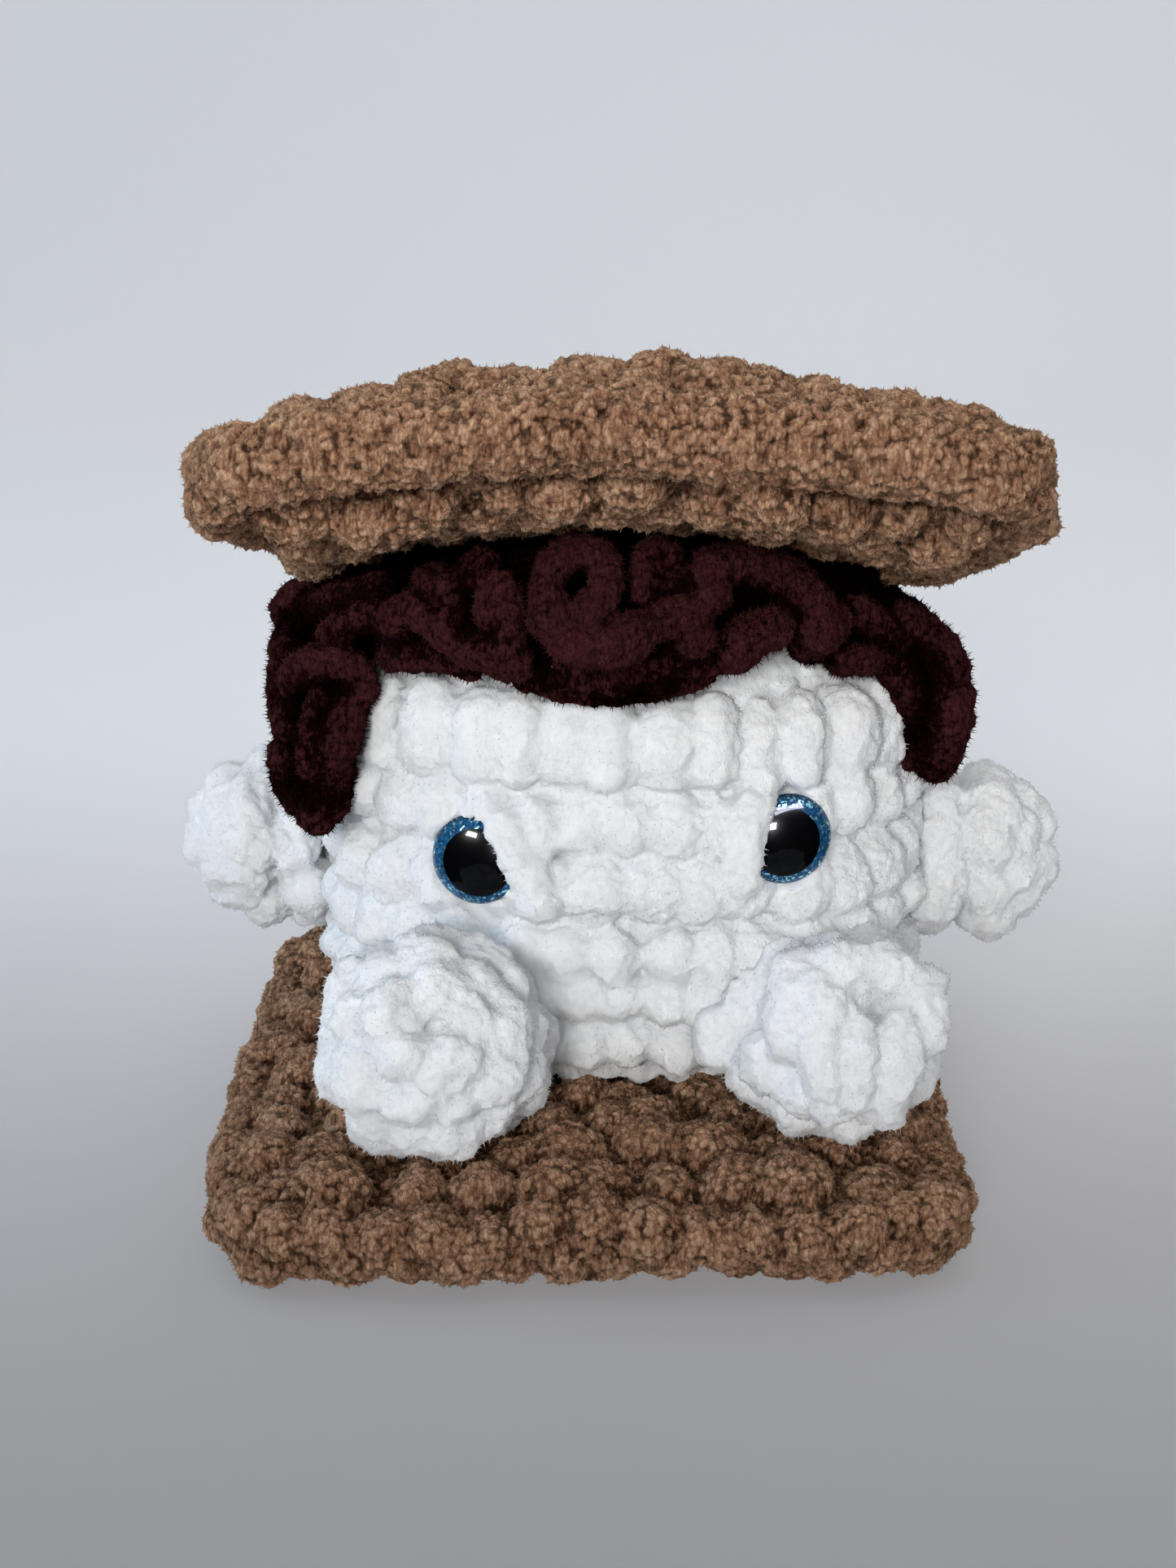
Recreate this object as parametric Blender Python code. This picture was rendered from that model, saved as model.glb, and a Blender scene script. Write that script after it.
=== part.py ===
"""A crocheted plush s'more: a white marshmallow figure with two arms, two legs and two eyes,
a chocolate top with drips, and a square cracker pad below it and above it.

Metres, +Z up, front towards -Y. The origin is the middle of the bottom cracker's flat underside.
"""
import math

import bmesh
import bpy
from mathutils import Matrix, Vector

# Gap that a piece keeps where it is pressed against another
CLEARANCE = 0.0004

# Both cracker pads, in knobs as wide as one stitch of the thick yarn
CRACKER_CORNER = 10.0       # power of the rounded square, where 2 is a circle
CRACKER_RIM_ROUND = 0.0035  # how far the upright rim curves in above and below
CRACKER_RELIEF = 0.0028     # height of a stitch knob
CRACKER_STITCHES = 10       # knobs along one side
CRACKER_SWELL = 5.0         # power of the panels' crown from front to back

# Bottom cracker: lies flat, turned a little under the body
BOTTOM_SIDE = 0.178
BOTTOM_HEIGHT = 0.0275
BOTTOM_RIM = 0.0245
BOTTOM_FLANK = 0.0          # share of the panels' swell that its left and right sides keep
BOTTOM_TURN = math.radians(3.2)
SEAT = 0.0262               # height at which the body and the legs rest on it

# Top cracker: a plump cushion tipped back on the head, its sides drooping
TOP_SIDE = 0.182
TOP_HEIGHT = 0.0350
TOP_RIM = 0.0190
TOP_FLANK = 0.60
TOP_UNDER = 0.50            # how far its underside swells, as a share of its top
TOP_CENTRE = Vector((0.0100, 0.0, 0.1745))
TOP_PITCH = math.radians(11.3)
TOP_ROLL = math.radians(0.7)
TOP_FRONT_DROOP = 0.009
TOP_BACK_DROOP = 0.028
TOP_TWIST = 0.0017          # how much lower the front left and back right corners hang

# Marshmallow body: a soft drum, flatter in front than an ellipse
BODY_CENTRE = Vector((0.0090, 0.0170, SEAT))
BODY_HALF_WIDTH = 0.0755
BODY_HALF_DEPTH = 0.0600
BODY_HEIGHT = 0.1175
BODY_PLAN = 2.5             # power of its plan, where 2 is an ellipse
BODY_TOP_ROUND = 0.036
BODY_BASE_ROUND = 0.020
BODY_LEAN = 0.06            # how far it leans back for each metre of height
BODY_DOME = 0.006           # rise of the middle of the top
BODY_STITCHES = 28
BODY_RELIEF = 0.0022
# Ring of points and its length down the side from the middle of the top
BODY_RINGS = ((0, 0.0), (3, 0.055), (20, 0.187), (23, 0.251))
BODY_PLAIN_RINGS = 4        # rings at the base that have no relief

# Limbs: stubs with round ends, each from a point inside the body to its tip
LIMBS = {
    "leg_left": {"root": (-0.0355, -0.0300, 0.0313), "tip": (-0.0300, -0.0840, 0.0650), "radius": 0.0262},
    "leg_right": {"root": (0.0527, -0.0270, 0.0369), "tip": (0.0680, -0.0735, 0.0655), "radius": 0.0260},
    "arm_left": {"root": (-0.0400, 0.0280, 0.0685), "tip": (-0.1040, 0.0270, 0.0690), "radius": 0.0224},
    "arm_right": {"root": (0.0570, 0.0280, 0.0675), "tip": (0.1205, 0.0270, 0.0680), "radius": 0.0226},
}
LIMB_STITCHES = 10
LIMB_ROWS = 7
LIMB_SQUARENESS = 0.72      # 1 is an ellipsoid, 0 a plain cylinder
LIMB_RELIEF = 0.0018

# Dents in the bottom cracker under the body and each leg: middle in x and y, half width, half depth
DENTS = (
    (BODY_CENTRE.x, BODY_CENTRE.y, 0.084, 0.068),
    (-0.0320, -0.0600, 0.028, 0.028),
    (0.0600, -0.0520, 0.028, 0.028),
)

# Safety eyes: domed buttons sunk in the front, each turned outwards
EYE_RADIUS = 0.0110
EYE_DOME = 0.0060
EYE_RIM = 0.0030
EYE_SUNK = 0.0014
EYE_TILT = math.radians(2.0)
EYES = {
    "eye_left": {"x": -0.0247, "z": 0.0853, "turn": math.radians(-17.0)},
    "eye_right": {"x": 0.0487, "z": 0.0905, "turn": math.radians(17.0)},
}

# Chocolate: a thick cap over the top of the body, with a roll along its front and hanging lobes
CHOCOLATE_THICK = 0.0130
CHOCOLATE_SUNK = 0.004      # depth of its inner sheet inside the body, before the body cuts it
CHOCOLATE_EDGE = 0.078      # length of the plain edge from the middle of the top
CHOCOLATE_RELIEF = 0.0020
# Where the cap is thinner over the shoulders: angle, half width, how much thinner
SHOULDERS = (
    (math.radians(8.0), math.radians(62.0), 0.0070),
    (math.radians(178.0), math.radians(58.0), 0.0040),
)
SHOULDER_LENGTH = 0.060
SHOULDER_SPREAD = 0.020
CHOCOLATE_COLUMNS = 70
CHOCOLATE_RINGS = 13
CHOCOLATE_INNER_RINGS = 3
ROLL_ANGLE = math.radians(268.0)
ROLL_HALF = math.radians(62.0)
ROLL_HEIGHT = 0.016
ROLL_LENGTH = 0.045         # length from the middle of the top to the crest of the roll
ROLL_SPREAD = 0.022
# Each lobe: angle round the body from +X, half width, how far it hangs, how blunt it is
LOBES = (
    (math.radians(204.0), math.radians(21.0), 0.043, 2.8),
    (math.radians(342.0), math.radians(18.0), 0.032, 2.8),
    (math.radians(266.0), math.radians(42.0), 0.009, 1.1),
    (math.radians(62.0), math.radians(18.0), 0.040, 2.6),
    (math.radians(118.0), math.radians(16.0), 0.024, 2.6),
)

# Colour and roughness of each material
FINISHES = {
    "cracker_yarn": ((0.36, 0.21, 0.125), 0.95),
    "marshmallow_yarn": ((0.86, 0.86, 0.86), 0.95),
    "chocolate_yarn": ((0.055, 0.017, 0.016), 0.95),
    "eye_plastic": ((0.02, 0.09, 0.20), 0.08),
}


# General helpers

def clear_scene():
    for obj in list(bpy.data.objects):
        bpy.data.objects.remove(obj)


def finish_material(name):
    colour, roughness = FINISHES[name]
    material = bpy.data.materials.get(name) or bpy.data.materials.new(name)
    material.use_nodes = True
    shader = material.node_tree.nodes["Principled BSDF"]
    shader.inputs["Base Color"].default_value = (*colour, 1.0)
    shader.inputs["Roughness"].default_value = roughness
    shader.inputs["Metallic"].default_value = 0.0
    return material


def make_object(name, bm, finish, location=(0.0, 0.0, 0.0), turn=None):
    """Turns a bmesh into a named object, and puts it at its location."""
    bmesh.ops.triangulate(bm, faces=bm.faces)
    bmesh.ops.recalc_face_normals(bm, faces=bm.faces)
    if bm.calc_volume(signed=True) < 0:
        bmesh.ops.reverse_faces(bm, faces=bm.faces)
    mesh = bpy.data.meshes.new(name)
    bm.to_mesh(mesh)
    bm.free()
    mesh.materials.append(finish_material(finish))
    mesh.shade_smooth()
    obj = bpy.data.objects.new(name, mesh)
    obj.location = location
    if turn is not None:
        obj.rotation_euler = turn.to_euler()
    bpy.context.scene.collection.objects.link(obj)
    return obj


def clearance_cutter(obj):
    """A hidden copy of a piece, grown by the clearance, that cuts its neighbours."""
    cutter = bpy.data.objects.new(obj.name + "_clearance", obj.data)
    bpy.context.scene.collection.objects.link(cutter)
    cutter.parent = obj
    grow = cutter.modifiers.new("grow", "DISPLACE")
    grow.strength = CLEARANCE
    grow.mid_level = 0.0
    cutter.hide_render = True
    cutter.display_type = "WIRE"
    return cutter


def cut(obj, *cutters):
    for cutter in cutters:
        modifier = obj.modifiers.new("pressed_by_" + cutter.name, "BOOLEAN")
        modifier.operation = "DIFFERENCE"
        modifier.solver = "EXACT"
        modifier.object = cutter


def smooth_step(value):
    value = min(1.0, max(0.0, value))
    return value * value * (3 - 2 * value)


def knob(i, j):
    """1 on a stitch's crown and -0.8 in the hollows between stitches, on a grid of half stitches."""
    if i % 2 and j % 2:
        return 1.0
    return 0.1 if i % 2 or j % 2 else -0.8


def sphere_grid(columns, rings):
    bm = bmesh.new()
    bmesh.ops.create_uvsphere(bm, u_segments=columns, v_segments=rings, radius=1.0)
    return bm


def ring_and_column(vert, columns, rings):
    """The ring of a unit sphere's point, from the top, and its column round +Z."""
    ring = round(math.acos(max(-1.0, min(1.0, vert.co.z))) / math.pi * rings)
    column = round(math.atan2(vert.co.y, vert.co.x) / (2 * math.pi) * columns) % columns
    return ring, column


# Cracker pads

def rounded_square(u, v):
    """Moves a point of the square -1..1 so that the square's corners are rounded."""
    reach = max(abs(u), abs(v))
    if reach < 1e-9:
        return 0.0, 0.0
    norm = (abs(u / reach) ** CRACKER_CORNER + abs(v / reach) ** CRACKER_CORNER) ** (-1 / CRACKER_CORNER)
    blend = 1 + (norm - 1) * reach ** 3
    return u * blend, v * blend


def pad_point(u, v, w, side, height, rim, flank, relief):
    """A point of a pad about its own middle. w runs from -1, underside, to 1, top."""
    x, y = rounded_square(u, v)
    swell = (1 - (1 - flank) * abs(u) ** 8) * (1 - abs(v) ** CRACKER_SWELL)
    half = rim / 2 + (height - rim) / 2 * swell
    if max(abs(u), abs(v)) > 0.999:
        reach = side / 2 - CRACKER_RIM_ROUND * (1 - math.cos(w * math.pi / 2))
        return Vector((x * reach, y * reach, w * half))
    reach = side / 2 - CRACKER_RIM_ROUND
    return Vector((x * reach, y * reach, math.copysign(half + relief, w)))


def cracker_mesh(side, height, rim, flank, settle):
    """A square pad of crochet. settle(point) presses or bends each point as the pad lies."""
    bm = bmesh.new()
    bmesh.ops.create_cube(bm, size=2.0)
    upright = [e for e in bm.edges if abs(e.verts[0].co.z - e.verts[1].co.z) > 1]
    level = [e for e in bm.edges if e not in upright]
    bmesh.ops.subdivide_edges(bm, edges=level, cuts=2 * CRACKER_STITCHES - 1, use_grid_fill=True)
    upright = [e for e in bm.edges if abs(e.verts[0].co.z - e.verts[1].co.z) > 1]
    bmesh.ops.subdivide_edges(bm, edges=upright, cuts=2, use_grid_fill=True)
    for vert in bm.verts:
        u, v, w = vert.co
        i = round((u + 1) * CRACKER_STITCHES)
        j = round((v + 1) * CRACKER_STITCHES)
        vert.co = settle(pad_point(u, v, w, side, height, rim, flank, CRACKER_RELIEF * knob(i, j)))
    return bm


def settle_bottom(point):
    """Presses the bottom pad's underside flat, and dents its top under the body and the legs."""
    height = 0.0 if point.z < -BOTTOM_RIM / 3 else point.z + BOTTOM_RIM / 2
    turned = Matrix.Rotation(BOTTOM_TURN, 3, "Z") @ point
    for x, y, half_width, half_depth in DENTS:
        if math.hypot((turned.x - x) / half_width, (turned.y - y) / half_depth) < 1:
            height = min(height, SEAT - CLEARANCE / 2)
    return Vector((point.x, point.y, height))


def settle_top(point):
    """Lets the top pad's sides hang, most of all towards the back, and flattens its underside."""
    across, back = 2 * point.x / TOP_SIDE, 2 * point.y / TOP_SIDE
    droop = TOP_FRONT_DROOP + (TOP_BACK_DROOP - TOP_FRONT_DROOP) * max(0.0, (1 + back) / 2) ** 0.75
    sag = droop * abs(across) ** 1.7 + TOP_TWIST * across * back
    spare = max(0.0, -point.z - TOP_RIM / 2)
    return Vector((point.x, point.y, point.z - sag + spare * (1 - TOP_UNDER)))


# Marshmallow body

def body_profile(s):
    """Distance from the axis, height, and outward direction, at a length s from the top's middle."""
    top_flat = BODY_HALF_WIDTH - BODY_TOP_ROUND
    top_arc = BODY_TOP_ROUND * math.pi / 2
    wall = BODY_HEIGHT - BODY_TOP_ROUND - BODY_BASE_ROUND
    base_arc = BODY_BASE_ROUND * math.pi / 2
    if s < top_flat:
        return s, BODY_HEIGHT + BODY_DOME * (1 - (s / top_flat) ** 2), 0.0, 1.0
    s -= top_flat
    if s < top_arc:
        turn = s / BODY_TOP_ROUND
        radius = top_flat + BODY_TOP_ROUND * math.sin(turn)
        height = BODY_HEIGHT - BODY_TOP_ROUND * (1 - math.cos(turn))
        return radius, height, math.sin(turn), math.cos(turn)
    s -= top_arc
    if s < wall:
        return BODY_HALF_WIDTH, BODY_HEIGHT - BODY_TOP_ROUND - s, 1.0, 0.0
    s -= wall
    if s < base_arc:
        turn = s / BODY_BASE_ROUND
        radius = BODY_HALF_WIDTH - BODY_BASE_ROUND * (1 - math.cos(turn))
        return radius, BODY_BASE_ROUND * (1 - math.sin(turn)), math.cos(turn), -math.sin(turn)
    s -= base_arc
    return max(0.0, BODY_HALF_WIDTH - BODY_BASE_ROUND - s), 0.0, 0.0, -1.0


def ring_length(ring):
    """Length down the side at which a ring of points lies: close together where stitches show."""
    for (first, start), (last, end) in zip(BODY_RINGS, BODY_RINGS[1:]):
        if ring <= last:
            return start + (end - start) * (ring - first) / (last - first)
    return BODY_RINGS[-1][1]


def body_point(angle, s, out=0.0, up=0.0):
    """A point on the body or out from it, about the middle of its base, at an angle from +X."""
    radius, height, outward, upward = body_profile(s)
    c, d = math.cos(angle), math.sin(angle)
    plan = (abs(c) ** BODY_PLAN + abs(d) ** BODY_PLAN) ** (-1 / BODY_PLAN)
    flatness = BODY_HALF_DEPTH / BODY_HALF_WIDTH
    x = c * (plan * radius + outward * out)
    y = d * (plan * flatness * radius + outward * out)
    z = height + upward * out + up
    z -= 2 * y * BODY_LEAN * z / BODY_HEIGHT
    return Vector((x, y + z * BODY_LEAN, max(z, CLEARANCE / 2)))


def make_body():
    columns, rings = 2 * BODY_STITCHES, BODY_RINGS[-1][0]
    bm = sphere_grid(columns, rings)
    for vert in bm.verts:
        ring, column = ring_and_column(vert, columns, rings)
        stitched = 0 < ring < rings - BODY_PLAIN_RINGS
        relief = BODY_RELIEF * knob(ring, column + ring // 2 % 2) if stitched else 0.0
        vert.co = body_point(2 * math.pi * column / columns, ring_length(ring), relief)
    return make_object("marshmallow_body", bm, "marshmallow_yarn", BODY_CENTRE)


# Limbs

def make_limb(name, root, tip, radius):
    """A stub along the line from root to tip, with a rounded end."""
    root, tip = Vector(root), Vector(tip)
    columns, rings = 2 * LIMB_STITCHES, 2 * LIMB_ROWS
    half = (tip - root).length / 2
    bm = sphere_grid(columns, rings)
    for vert in bm.verts:
        ring, column = ring_and_column(vert, columns, rings)
        polar = math.pi * ring / rings
        angle = 2 * math.pi * column / columns
        relief = LIMB_RELIEF * knob(ring, column) if 0 < ring < rings else 0.0
        reach = (radius + relief) * max(0.0, math.sin(polar)) ** LIMB_SQUARENESS
        along = math.copysign(abs(math.cos(polar)) ** LIMB_SQUARENESS, math.cos(polar))
        vert.co = Vector((reach * math.cos(angle), reach * math.sin(angle), half * along))
    turn = (tip - root).to_track_quat("Z", "Y")
    return make_object(name, bm, "marshmallow_yarn", (root + tip) / 2, turn)


# Eyes

def front_of_body(x, z):
    """The point of the body's front at a given x and z, found by walking over it."""
    best, distance = None, 1.0
    for step in range(181):
        angle = math.radians(180.0 + step)
        for part in range(61):
            point = body_point(angle, 0.05 + 0.15 * part / 60) + BODY_CENTRE
            off = math.hypot(point.x - x, point.z - z)
            if off < distance:
                best, distance = point, off
    return Vector((x, best.y, z))


def make_eye(name, x, z, turn):
    """A domed button whose flat back lies a little under the wool."""
    bm = sphere_grid(24, 8)
    for vert in bm.verts:
        if vert.co.z > -1e-6:
            reach, height = EYE_RADIUS, vert.co.z * EYE_DOME
        else:
            reach, height = EYE_RADIUS * min(1.0, 1.2 * math.hypot(vert.co.x, vert.co.y)), -EYE_RIM
        vert.co = Vector((vert.co.x * reach, vert.co.y * reach, height))
    seat = front_of_body(x, z) + Vector((0.0, EYE_SUNK, 0.0))
    facing = Matrix.Rotation(turn, 3, "Z") @ Matrix.Rotation(math.radians(90.0) - EYE_TILT, 3, "X")
    return make_object(name, bm, "eye_plastic", seat, facing)


# Chocolate

def lobe(angle, middle, half, blunt=1.4):
    """1 at a lobe's middle, falling smoothly to 0 at its sides."""
    away = abs((angle - middle + math.pi) % (2 * math.pi) - math.pi)
    return smooth_step(blunt * (1 - away / half))


def column_angles():
    """Angles of the sheet's columns round a full turn, closer together where a lobe hangs."""
    steps = []
    for index in range(720):
        near = [lobe(math.radians(index / 2), middle, half * 1.5, 2.0) for middle, half, drop, _ in LOBES
                if drop > 0.02]
        steps.append(1 + 1.6 * max(near))
    passed, angles = 0.0, []
    for index, step in enumerate(steps):
        if passed >= sum(steps) * len(angles) / CHOCOLATE_COLUMNS:
            angles.append(math.radians(index / 2))
        passed += step
    return angles


def make_chocolate():
    """A cap that follows the body's top and hangs over it, thick along the front."""
    rings = CHOCOLATE_RINGS + CHOCOLATE_INNER_RINGS
    angles = column_angles()
    bm = sphere_grid(CHOCOLATE_COLUMNS, rings)
    for vert in bm.verts:
        ring, column = ring_and_column(vert, CHOCOLATE_COLUMNS, rings)
        angle = angles[column]
        reach = CHOCOLATE_EDGE
        for middle, half, drop, blunt in LOBES:
            reach += drop * lobe(angle, middle, half, blunt)
        if ring > CHOCOLATE_RINGS:
            share = (rings - ring) / CHOCOLATE_INNER_RINGS
            vert.co = body_point(angle, reach * share, -CHOCOLATE_SUNK)
            continue
        share = ring / CHOCOLATE_RINGS
        s = reach * share
        relief = CHOCOLATE_RELIEF * knob(ring, column) if 0 < ring < CHOCOLATE_RINGS else 0.0
        fullness = 0.35 + 0.65 * math.sqrt(max(0.0, 1 - share ** 8))
        roll = ROLL_HEIGHT * lobe(angle, ROLL_ANGLE, ROLL_HALF)
        roll *= math.exp(-((s - ROLL_LENGTH) / ROLL_SPREAD) ** 2)
        thin = sum(depth * lobe(angle, middle, half) for middle, half, depth in SHOULDERS)
        thin *= math.exp(-((s - SHOULDER_LENGTH) / SHOULDER_SPREAD) ** 2)
        vert.co = body_point(angle, s, (CHOCOLATE_THICK - thin + relief) * fullness, roll)
    return make_object("chocolate_top", bm, "chocolate_yarn", BODY_CENTRE)


def build():
    clear_scene()
    bottom_mesh = cracker_mesh(BOTTOM_SIDE, BOTTOM_HEIGHT, BOTTOM_RIM, BOTTOM_FLANK, settle_bottom)
    bottom_turn = Matrix.Rotation(BOTTOM_TURN, 3, "Z")
    bottom = make_object("cracker_bottom", bottom_mesh, "cracker_yarn", turn=bottom_turn)
    top_mesh = cracker_mesh(TOP_SIDE, TOP_HEIGHT, TOP_RIM, TOP_FLANK, settle_top)
    top_turn = Matrix.Rotation(-TOP_PITCH, 3, "X") @ Matrix.Rotation(TOP_ROLL, 3, "Y")
    top = make_object("cracker_top", top_mesh, "cracker_yarn", TOP_CENTRE, top_turn)
    body = make_body()
    eyes = [make_eye(name, **place) for name, place in EYES.items()]
    limbs = {name: make_limb(name, **place) for name, place in LIMBS.items()}
    chocolate = make_chocolate()

    bottom_cutter = clearance_cutter(bottom)
    body_cutter = clearance_cutter(body)
    chocolate_cutter = clearance_cutter(chocolate)
    cut(body, *[clearance_cutter(eye) for eye in eyes])
    cut(limbs["leg_left"], body_cutter, bottom_cutter)
    cut(limbs["leg_right"], body_cutter, bottom_cutter)
    cut(limbs["arm_left"], body_cutter, chocolate_cutter)
    cut(limbs["arm_right"], body_cutter, chocolate_cutter)
    cut(chocolate, body_cutter, clearance_cutter(top))


build()
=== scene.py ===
# %% [markdown]
# # A crocheted plush s'more
#
# The toy is made of thick chenille yarn. Two square pads stand for the crackers, a soft white drum
# with arms and legs for the marshmallow, and a dark cap of loose loops for the melted chocolate.
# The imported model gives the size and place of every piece. This script dresses each one in stitches
# and pile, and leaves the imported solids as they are.

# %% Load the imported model
import math
import random

import bmesh
import bpy
import numpy as np
from mathutils import Matrix, Vector
from mathutils.bvhtree import BVHTree


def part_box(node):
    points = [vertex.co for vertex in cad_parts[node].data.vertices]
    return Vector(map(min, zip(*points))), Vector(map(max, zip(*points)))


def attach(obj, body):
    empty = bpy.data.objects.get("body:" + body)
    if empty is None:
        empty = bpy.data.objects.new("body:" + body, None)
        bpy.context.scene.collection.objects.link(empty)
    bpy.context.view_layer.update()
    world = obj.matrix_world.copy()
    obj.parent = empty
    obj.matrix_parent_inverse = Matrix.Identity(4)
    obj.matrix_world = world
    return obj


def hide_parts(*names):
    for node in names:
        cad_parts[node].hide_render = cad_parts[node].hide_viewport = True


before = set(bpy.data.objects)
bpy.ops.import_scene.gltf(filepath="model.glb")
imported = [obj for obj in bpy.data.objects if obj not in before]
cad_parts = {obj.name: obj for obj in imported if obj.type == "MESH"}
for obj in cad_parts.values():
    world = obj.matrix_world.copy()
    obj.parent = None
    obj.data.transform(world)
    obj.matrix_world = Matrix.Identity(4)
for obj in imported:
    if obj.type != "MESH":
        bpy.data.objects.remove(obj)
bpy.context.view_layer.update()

MM = 0.001
print("nodes:", ", ".join(sorted(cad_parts)))

# %% [markdown]
# ## Camera
#
# The photograph looks down on the toy by a little under 19 degrees. Its focal length, counted in
# pixels of the photograph, gives the lens. The same numbers turn a place in the photograph into a
# ray, which is how the loose loops of yarn find their place on the model further down.

# %% Camera
PHOTO_WIDE, PHOTO_HIGH, FOCAL_PIXELS = 1445, 1927, 2600.0
EYE_POINT = Vector((0.0181, -0.497, 0.261))
PITCH_DOWN, YAW = math.radians(18.7), math.radians(2.0)

ahead = Vector((-math.sin(YAW) * math.cos(PITCH_DOWN), math.cos(YAW) * math.cos(PITCH_DOWN),
                -math.sin(PITCH_DOWN)))
rightward = Vector((math.cos(YAW), math.sin(YAW), 0.0))
upward = rightward.cross(ahead)

camera = bpy.data.objects.new("camera", bpy.data.cameras.new("camera"))
camera.data.sensor_width = 36.0
camera.data.lens = FOCAL_PIXELS / PHOTO_HIGH * 36.0
camera_axes = Matrix((rightward, upward, -ahead)).transposed().to_4x4()
camera.matrix_world = Matrix.Translation(EYE_POINT) @ camera_axes
bpy.context.scene.collection.objects.link(camera)
bpy.context.scene.camera = camera


def sight(column, row):
    """The direction in which the camera sees a pixel of the photograph."""
    across = (column - PHOTO_WIDE / 2) / FOCAL_PIXELS
    down = (row - PHOTO_HIGH / 2) / FOCAL_PIXELS
    return (ahead + rightward * across - upward * down).normalized()


print("lens", round(camera.data.lens, 2), "mm")

# %% [markdown]
# ## Helpers for nodes and meshes
#
# Materials and Geometry Nodes are both graphs. One helper adds a node, sets its options, and fills
# its sockets with numbers or with links, so that a graph reads like a list of steps. The others move
# numbers between a mesh and numpy, which is quick even for a hundred thousand points.

# %% Node helpers


def add_node(tree, kind, sockets=None, **options):
    """Adds a node. sockets maps a socket's name or number to a value or to the socket that feeds it."""
    node = tree.nodes.new(kind)
    for key, value in options.items():
        setattr(node, key, value)
    for key, value in (sockets or {}).items():
        if isinstance(key, int):
            socket = node.inputs[key]
        else:
            socket = next(s for s in node.inputs if s.name == key and s.enabled)
        if isinstance(value, bpy.types.NodeSocket):
            tree.links.new(value, socket)
        else:
            socket.default_value = value
    return node


def output_of(node, name=None):
    """The node's live output, or the one with that name."""
    return next(s for s in node.outputs if s.enabled and name in (None, s.name))


def calculate(tree, operation, *terms):
    """A Math node over up to three numbers or sockets."""
    return add_node(tree, "ShaderNodeMath", dict(enumerate(terms)), operation=operation).outputs[0]


def combine(tree, operation, *terms):
    """A Vector Math node over up to three vectors or sockets."""
    return output_of(add_node(tree, "ShaderNodeVectorMath", dict(enumerate(terms)), operation=operation))


def limits(tree, value, low, high, between="LINEAR"):
    """0 at low and 1 at high."""
    return add_node(tree, "ShaderNodeMapRange", {"Value": value, "From Min": low, "From Max": high},
                    interpolation_type=between).outputs[0]


def named_number(tree, name, kind="FLOAT"):
    """A number or vector that the mesh keeps for each point, in Geometry Nodes."""
    return output_of(add_node(tree, "GeometryNodeInputNamedAttribute", {"Name": name}, data_type=kind))


def mixed(tree, factor, first, second):
    """A colour between two colours or sockets."""
    node = add_node(tree, "ShaderNodeMix", {"Factor": factor, 6: first, 7: second}, data_type="RGBA")
    return node.outputs[2]


def new_material(name):
    """A material with its node tree and its main shader."""
    material = bpy.data.materials.new(name)
    material.use_nodes = True
    return material, material.node_tree, material.node_tree.nodes["Principled BSDF"]


def geometry_tree(name):
    """An empty Geometry Nodes tree with one geometry in and one out."""
    tree = bpy.data.node_groups.new(name, "GeometryNodeTree")
    tree.interface.new_socket("Geometry", in_out="INPUT", socket_type="NodeSocketGeometry")
    tree.interface.new_socket("Geometry", in_out="OUTPUT", socket_type="NodeSocketGeometry")
    return tree, tree.nodes.new("NodeGroupInput").outputs[0], tree.nodes.new("NodeGroupOutput").inputs[0]


# %% Mesh helpers


def apply_modifiers(obj):
    """Writes what an object's modifiers make into its own mesh."""
    bpy.context.view_layer.update()
    graph = bpy.context.evaluated_depsgraph_get()
    mesh = bpy.data.meshes.new_from_object(obj.evaluated_get(graph), preserve_all_data_layers=True,
                                           depsgraph=graph)
    obj.modifiers.clear()
    obj.data = mesh
    return obj


def new_object(name, bm):
    """Makes an object at the origin from a bmesh."""
    mesh = bpy.data.meshes.new(name)
    bm.to_mesh(mesh)
    bm.free()
    obj = bpy.data.objects.new(name, mesh)
    bpy.context.scene.collection.objects.link(obj)
    return obj


def places_of(obj):
    """The places of an object's points, one row each."""
    places = np.empty(len(obj.data.vertices) * 3, np.float32)
    obj.data.vertices.foreach_get("co", places)
    return places.reshape(-1, 3)


def put_places(obj, places):
    obj.data.vertices.foreach_set("co", places.astype(np.float32).ravel())
    obj.data.update()


def weigh(obj, name, values):
    """Stores one number for each point."""
    layer = obj.data.attributes.new(name, "FLOAT", "POINT")
    layer.data.foreach_set("value", np.asarray(values, np.float32))


# %% [markdown]
# ## Stuffed forms
#
# The shape under the stitches comes from the stuffing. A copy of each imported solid, remeshed to even
# squares and drawn in a little, becomes a bag of cloth, and pressure fills it until it is as full as
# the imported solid. The result serves twice: rays find the place of each stitch on it, and a slimmer
# copy fills the gaps between the stitches. A few frames are enough, since only the fullness counts.

# %% Stuffed forms
CLOTH_GRAIN = 4.5 * MM
FILLING_FRAMES = 12
# How far a form is drawn in before it is filled, and how far filling may push a point
SLACK = {"cracker_bottom": (3.0 * MM, 3.2 * MM), "cracker_top": (3.0 * MM, 3.2 * MM),
         "chocolate_top": (1.2 * MM, 1.4 * MM)}
USUAL_SLACK = (0.6 * MM, 0.8 * MM)


def draw_in(bm, depth):
    """Moves every point inwards along its own surface direction."""
    bm.normal_update()
    for vert in bm.verts:
        vert.co -= vert.normal * depth
    return bm


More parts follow.
